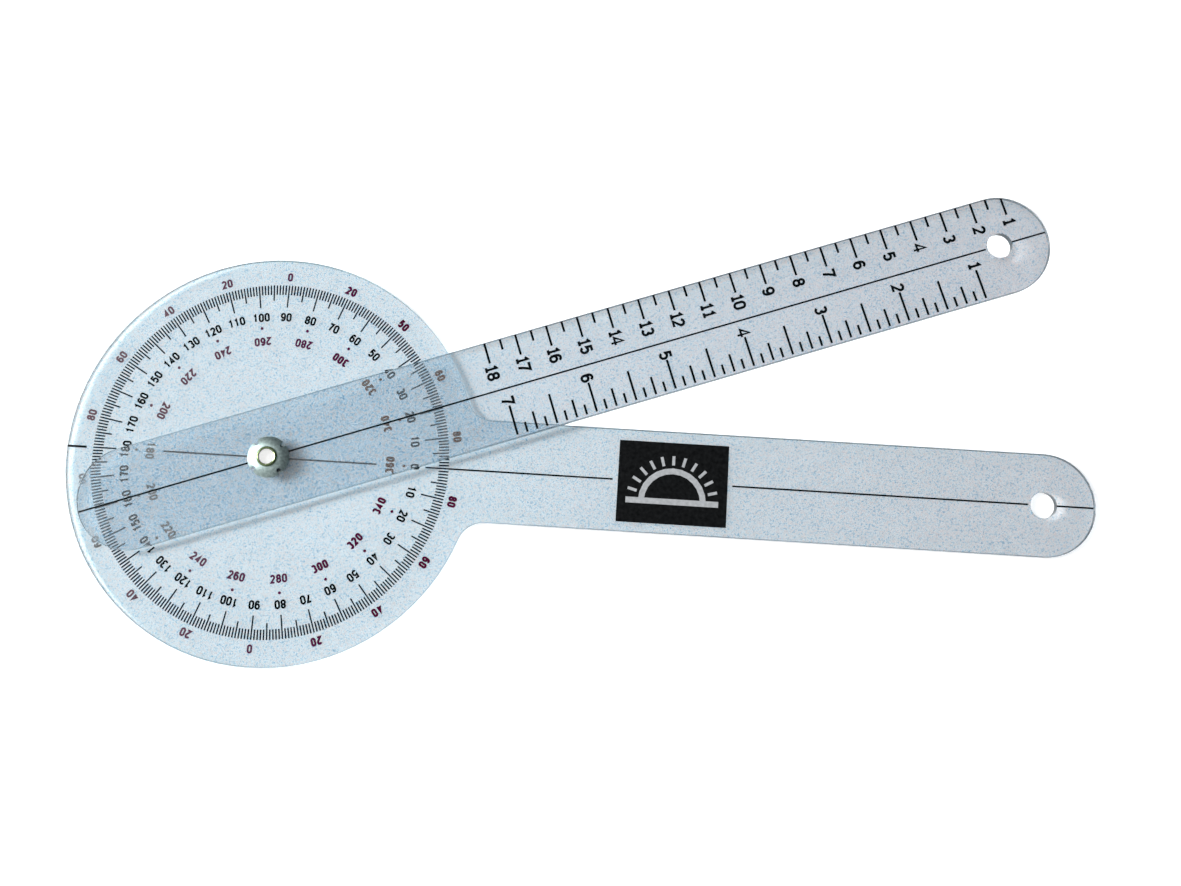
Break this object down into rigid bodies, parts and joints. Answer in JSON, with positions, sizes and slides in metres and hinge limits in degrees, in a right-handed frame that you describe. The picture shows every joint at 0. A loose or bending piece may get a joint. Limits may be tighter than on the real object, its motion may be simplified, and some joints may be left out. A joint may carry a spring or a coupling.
{
  "type": "angle finder",
  "caption": "Clear plastic angle finder with a full-circle degree dial, a fixed arm and a swing arm with rulers, joined by a hollow rivet.",
  "frame": {"origin": "on the pivot axis, at the dial plate's back face", "axes": "+Z along the pivot axis, from the dial plate towards the swing arm; +X out along the fixed arm; +Y on the side that the swing arm stands on at rest"},
  "size_m": [0.317, 0.1606, 0.0072],
  "materials": {
    "dial_plastic": "clear, faintly blue, fine matte grain, inked grooves",
    "arm_plastic": "clear, faintly blue, fine matte grain, inked grooves",
    "rivet_nickel": "bright nickel plate",
    "washer_nickel": "satin nickel plate"
  },
  "bodies": {
    "dial": {"dial_plate": "dial_plastic", "pivot_rivet": "rivet_nickel", "spring_washer": "washer_nickel"},
    "swing": {"swing_arm": "arm_plastic"}
  },
  "joints": [
    {"name": "swing_arm_pivot", "type": "hinge", "parent": "dial", "child": "swing", "pos_m": [0, 0, 0.0031], "axis": [0, 0, 1], "continuous": true}
  ]
}
